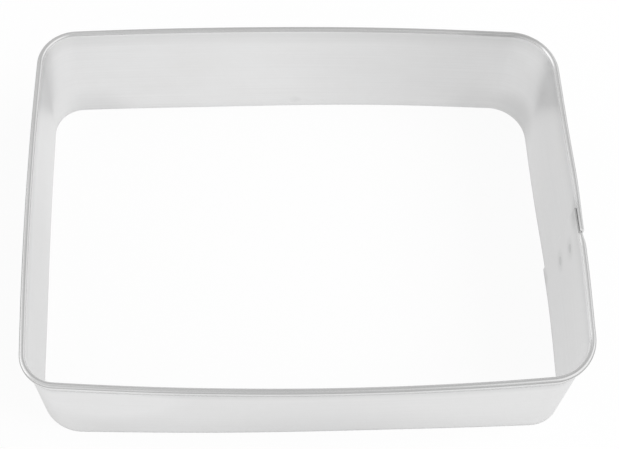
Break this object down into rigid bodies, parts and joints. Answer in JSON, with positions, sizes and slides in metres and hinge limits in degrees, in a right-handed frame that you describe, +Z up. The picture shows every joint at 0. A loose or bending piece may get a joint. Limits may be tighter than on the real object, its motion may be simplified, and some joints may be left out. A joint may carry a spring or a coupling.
{
  "type": "rectangle cookie cutter",
  "caption": "Open rounded-rectangle cutter of bent tinned sheet steel with a plain cutting edge, a folded safety rim and a lapped, spot-welded seam, for cutting dough.",
  "frame": {"origin": "centre of the outline's bounding box, on the plane of the cutting edge", "axes": "+X along the long sides, towards the seam's side; +Y to the back, across the short way; +Z up, from the cutting edge to the rim"},
  "size_m": [0.0916, 0.0682, 0.0254],
  "materials": {
    "tinplate": "bright satin tin coating with fine rolling lines and handling marks",
    "weld_mark": "dull grey electrode mark, slightly dished"
  },
  "bodies": {
    "root": {"cutter_strip": "tinplate", "spot_weld_upper": "weld_mark", "spot_weld_lower": "weld_mark"}
  },
  "joints": []
}
